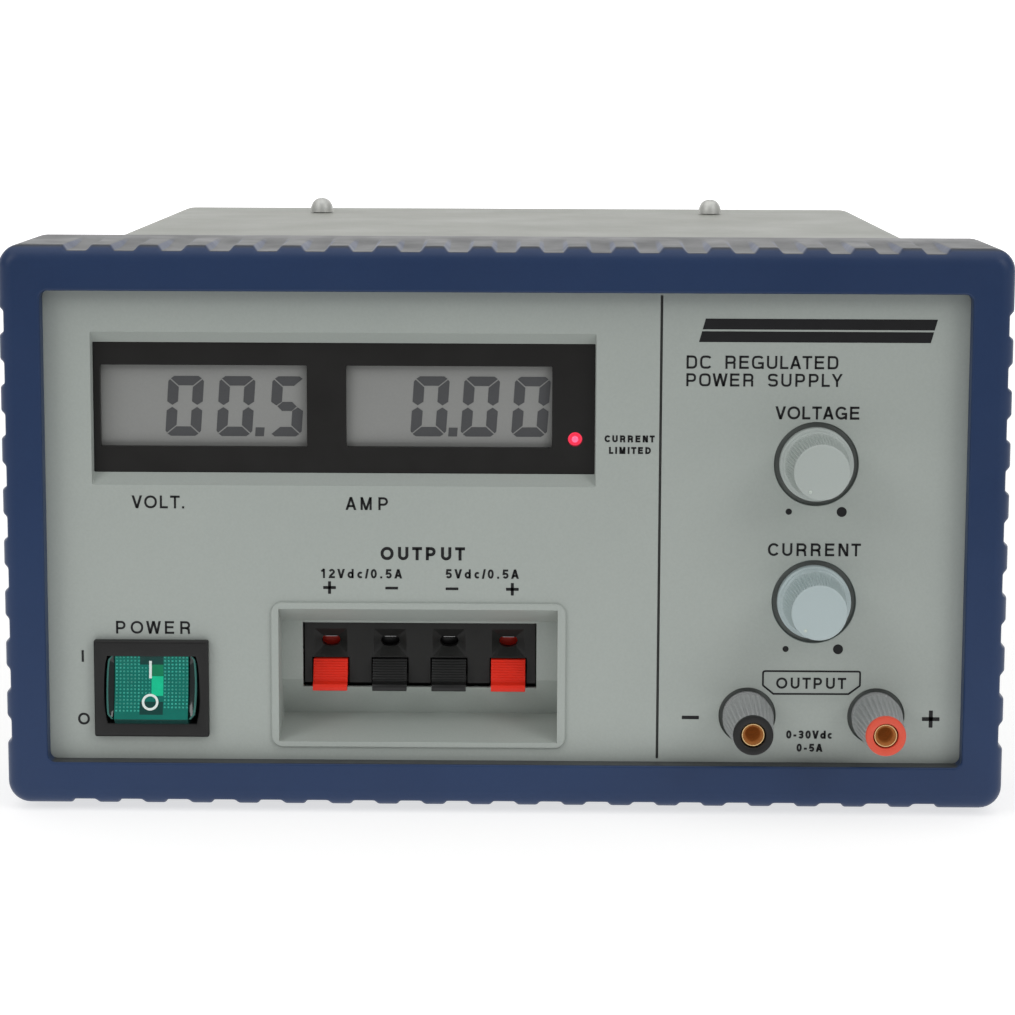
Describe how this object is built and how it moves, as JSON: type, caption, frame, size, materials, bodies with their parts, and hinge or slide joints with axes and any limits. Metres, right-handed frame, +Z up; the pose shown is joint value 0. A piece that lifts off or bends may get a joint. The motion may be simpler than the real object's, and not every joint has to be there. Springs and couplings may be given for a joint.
{
  "type": "bench power supply",
  "caption": "Bench DC power supply: steel case with a notched bumper, twin LCD meters, rocker switch, push terminals, two knobs and a pair of binding posts.",
  "frame": {"origin": "centre of the footprint, on the surface that the rubber feet stand on", "axes": "+X to the right seen from the front, +Y from the front panel to the rear, +Z up"},
  "size_m": [0.268, 0.3418, 0.1515],
  "materials": {
    "bumper_rubber": "dark blue moulded bumper, satin with a fine texture",
    "panel_plastic": "grey-green moulded ABS, fine matte texture",
    "case_paint": "warm grey powder coat on steel sheet",
    "zinc_steel": "bright zinc-plated sheet",
    "foot_rubber": "black rubber",
    "screw_nickel": "nickel-plated screw",
    "black_plastic": "black moulded plastic, satin",
    "lcd_glass": "grey reflective liquid crystal cell",
    "led_red": "red diffused lens",
    "circuit_board": "green solder resist",
    "knob_grey": "pale blue-grey moulded knob",
    "rocker_green": "translucent green lens with a dimple grid",
    "lever_red": "red moulded plastic",
    "brass": "machined brass",
    "cap_grey": "grey fluted plastic",
    "aluminium": "extruded aluminium",
    "copper": "enamelled copper winding under varnish",
    "lamination": "varnished steel laminations",
    "sleeve": "dark shrink sleeve",
    "fuse_glass": "clear glass tube"
  },
  "bodies": {
    "case": {"ac_inlet": "black_plastic", "bridge_rectifier": "black_plastic", "chassis_tray": "zinc_steel", "current_pot": "zinc_steel", "display_board": "circuit_board", "display_window": "black_plastic", "fan_frame": "black_plastic", "fan_guard": "screw_nickel", "filter_capacitor_1": "sleeve", "filter_capacitor_2": "sleeve", "foot_front_left": "foot_rubber", "foot_front_right": "foot_rubber", "foot_rear_left": "foot_rubber", "foot_rear_right": "foot_rubber", "front_bumper": "bumper_rubber", "front_panel": "panel_plastic", "heatsink": "aluminium", "lcd_amps": "lcd_glass", "lcd_volts": "lcd_glass", "limit_led": "led_red", "main_board": "circuit_board", "negative_post_base": "cap_grey", "negative_post_stud": "brass", "positive_post_base": "cap_grey", "positive_post_stud": "brass", "power_switch_body": "black_plastic", "power_transistor_1": "black_plastic", "power_transistor_2": "black_plastic", "rear_panel": "case_paint", "side_screw_front_left": "screw_nickel", "side_screw_front_right": "screw_nickel", "side_screw_rear_left": "screw_nickel", "side_screw_rear_right": "screw_nickel", "terminal_block": "black_plastic", "top_cover": "case_paint", "top_screw_left": "screw_nickel", "top_screw_right": "screw_nickel", "transformer_coil": "copper", "transformer_core": "lamination", "voltage_pot": "zinc_steel", "voltage_selector_body": "black_plastic"},
    "voltage_control": {"voltage_knob": "knob_grey", "voltage_shaft": "aluminium"},
    "current_control": {"current_knob": "knob_grey", "current_shaft": "aluminium"},
    "power_rocker": {"power_rocker": "rocker_green"},
    "terminal_lever_1": {"terminal_lever_1": "lever_red"},
    "terminal_lever_2": {"terminal_lever_2": "black_plastic"},
    "terminal_lever_3": {"terminal_lever_3": "black_plastic"},
    "terminal_lever_4": {"terminal_lever_4": "lever_red"},
    "negative_post_washer": {"negative_post_washer": "screw_nickel"},
    "negative_post_cap": {"negative_post_cap": "cap_grey", "negative_post_ring": "black_plastic"},
    "positive_post_washer": {"positive_post_washer": "screw_nickel"},
    "positive_post_cap": {"positive_post_cap": "cap_grey", "positive_post_ring": "lever_red"},
    "fan_rotor": {"fan_rotor": "black_plastic"},
    "fuse_drawer": {"fuse_drawer": "black_plastic", "fuse": "fuse_glass"},
    "voltage_selector": {"voltage_selector_slider": "lever_red"}
  },
  "joints": [
    {"name": "voltage_knob_turn", "type": "hinge", "parent": "case", "child": "voltage_control", "pos_m": [0.0824, -0.1515, 0.0941], "axis": [0, 1, 0], "range_deg": [-1, 301]},
    {"name": "current_knob_turn", "type": "hinge", "parent": "case", "child": "current_control", "pos_m": [0.0824, -0.1515, 0.0571], "axis": [0, 1, 0], "range_deg": [-9, 293]},
    {"name": "power_rocker_tilt", "type": "hinge", "parent": "case", "child": "power_rocker", "pos_m": [-0.0944, -0.1445, 0.0325], "axis": [1, 0, 0], "range_deg": [0, 22.5]},
    {"name": "terminal_lever_1_press", "type": "hinge", "parent": "case", "child": "terminal_lever_1", "pos_m": [-0.04715, -0.1292, 0.0379], "axis": [1, 0, 0], "range_deg": [0, 12], "stiffness_Nm_per_rad": 0.05},
    {"name": "terminal_lever_2_press", "type": "hinge", "parent": "case", "child": "terminal_lever_2", "pos_m": [-0.0311, -0.1292, 0.0379], "axis": [1, 0, 0], "range_deg": [0, 12], "stiffness_Nm_per_rad": 0.05},
    {"name": "terminal_lever_3_press", "type": "hinge", "parent": "case", "child": "terminal_lever_3", "pos_m": [-0.0151, -0.1292, 0.0379], "axis": [1, 0, 0], "range_deg": [0, 12], "stiffness_Nm_per_rad": 0.05},
    {"name": "terminal_lever_4_press", "type": "hinge", "parent": "case", "child": "terminal_lever_4", "pos_m": [0.00095, -0.1292, 0.0379], "axis": [1, 0, 0], "range_deg": [0, 12], "stiffness_Nm_per_rad": 0.05},
    {"name": "negative_post_travel", "type": "slide", "parent": "case", "child": "negative_post_washer", "axis": [0, -1, 0], "range_m": [0, 0.004]},
    {"name": "negative_post_cap_turn", "type": "hinge", "parent": "negative_post_washer", "child": "negative_post_cap", "pos_m": [0.0651, -0.1483, 0.026], "axis": [0, -1, 0], "range_deg": [0, 1440]},
    {"name": "positive_post_travel", "type": "slide", "parent": "case", "child": "positive_post_washer", "axis": [0, -1, 0], "range_m": [0, 0.004]},
    {"name": "positive_post_cap_turn", "type": "hinge", "parent": "positive_post_washer", "child": "positive_post_cap", "pos_m": [0.0996, -0.1483, 0.026], "axis": [0, -1, 0], "range_deg": [0, 1440]},
    {"name": "fan_spin", "type": "hinge", "parent": "case", "child": "fan_rotor", "pos_m": [0.062, 0.1448, 0.0765], "axis": [0, 1, 0], "continuous": true},
    {"name": "fuse_drawer_pull", "type": "slide", "parent": "case", "child": "fuse_drawer", "axis": [0, 1, 0], "range_m": [0, 0.018]},
    {"name": "voltage_selector_slide", "type": "slide", "parent": "case", "child": "voltage_selector", "axis": [1, 0, 0], "range_m": [0, 0.0055]}
  ],
  "couplings": [
    {"joint": "negative_post_cap_turn", "follows": "negative_post_travel", "rad_per_m": 6283.2},
    {"joint": "positive_post_cap_turn", "follows": "positive_post_travel", "rad_per_m": 6283.2}
  ]
}
